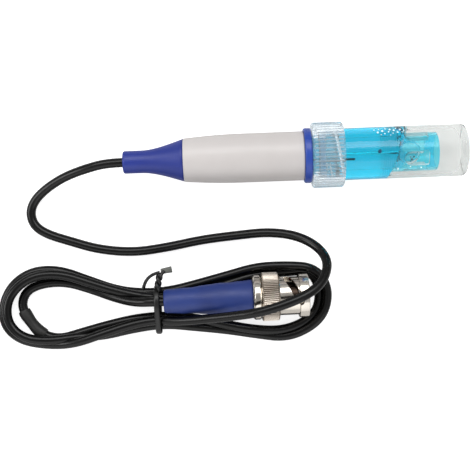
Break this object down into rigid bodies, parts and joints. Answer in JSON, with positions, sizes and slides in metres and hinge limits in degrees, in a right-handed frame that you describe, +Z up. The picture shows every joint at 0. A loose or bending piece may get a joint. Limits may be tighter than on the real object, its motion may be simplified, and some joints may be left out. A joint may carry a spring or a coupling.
{
  "type": "ph electrode",
  "caption": "Lab pH electrode with a guarded glass bulb in a clear screw-cap storage bottle, grey handle, tied coax cable and bayonet plug.",
  "frame": {"origin": "on the bench below the middle of the electrode, strain relief boot and storage bottle included", "axes": "+X along the electrode towards its sensing end, +Z up; the cable and its plug lie towards -Y"},
  "size_m": [0.1415, 0.0651, 0.0212],
  "materials": {
    "boot_rubber": "satin blue moulding",
    "handle_plastic": "glossy light grey",
    "collar_plastic": "glossy blue",
    "tube_plastic": "clear tinted blue",
    "frit_ceramic": "matt porous",
    "bulb_glass": "clear",
    "potting_resin": "dull",
    "silver": "bright wire",
    "dark_wire": "dark coated wire",
    "seal_rubber": "satin",
    "cable_jacket": "satin black",
    "cap_plastic": "clear",
    "ring_silicone": "translucent white",
    "vial_plastic": "clear",
    "solution": "clear liquid",
    "nickel": "bright nickel plating",
    "dielectric": "waxy white",
    "pin_plating": "gold plated",
    "gasket_rubber": "matt",
    "spring_steel": "spring steel",
    "ferrule_copper": "plated copper",
    "sleeve_rubber": "satin blue moulding",
    "shrink_tube": "matt black",
    "tie_plastic": "glossy black"
  },
  "bodies": {
    "electrode": {"strain_relief_boot": "boot_rubber", "head_shell": "handle_plastic", "stop_collar": "collar_plastic", "electrode_tube": "tube_plastic", "junction_frit": "frit_ceramic", "glass_stem": "bulb_glass", "potting_plug": "potting_resin", "silver_wire": "silver", "reference_wire": "dark_wire", "bulb_seal": "seal_rubber", "cable_end": "cable_jacket", "plug_back_nut": "nickel", "plug_body": "nickel", "insulator": "dielectric", "contact_pin": "pin_plating", "plug_gasket": "gasket_rubber", "wave_spring": "spring_steel", "crimp_ferrule": "ferrule_copper", "connector_boot": "sleeve_rubber", "plug_cable_end": "cable_jacket", "cord_hank": "cable_jacket", "cord": "cable_jacket", "cord_end": "cable_jacket", "cable_sleeve": "shrink_tube", "twist_tie": "tie_plastic"},
    "cap": {"bottle_cap": "cap_plastic"},
    "ring": {"seal_ring": "ring_silicone"},
    "vial": {"storage_vial": "vial_plastic", "storage_solution": "solution"},
    "washer": {"thrust_washer": "spring_steel"},
    "nut": {"coupling_nut": "nickel"}
  },
  "joints": [
    {"name": "bottle_pull", "type": "slide", "parent": "electrode", "child": "cap", "axis": [1, 0, 0], "range_m": [0, 0.045]},
    {"name": "thread_advance", "type": "slide", "parent": "cap", "child": "ring", "axis": [1, 0, 0], "range_m": [0, 0.0052]},
    {"name": "vial_unscrew", "type": "hinge", "parent": "ring", "child": "vial", "pos_m": [0, 0, 0.00965], "axis": [1, 0, 0], "range_deg": [0, 240]},
    {"name": "nut_slide", "type": "slide", "parent": "electrode", "child": "washer", "axis": [0.9994, 0.007, -0.0349], "range_m": [0, 0.001], "stiffness_N_per_m": 800, "deforming": ["wave_spring"]},
    {"name": "coupling_turn", "type": "hinge", "parent": "washer", "child": "nut", "pos_m": [-0.0085, -0.0414, 0.00734], "axis": [0.9994, 0.007, -0.0349], "continuous": true}
  ],
  "couplings": [
    {"joint": "thread_advance", "follows": "vial_unscrew", "m_per_rad": 0.0012255}
  ]
}
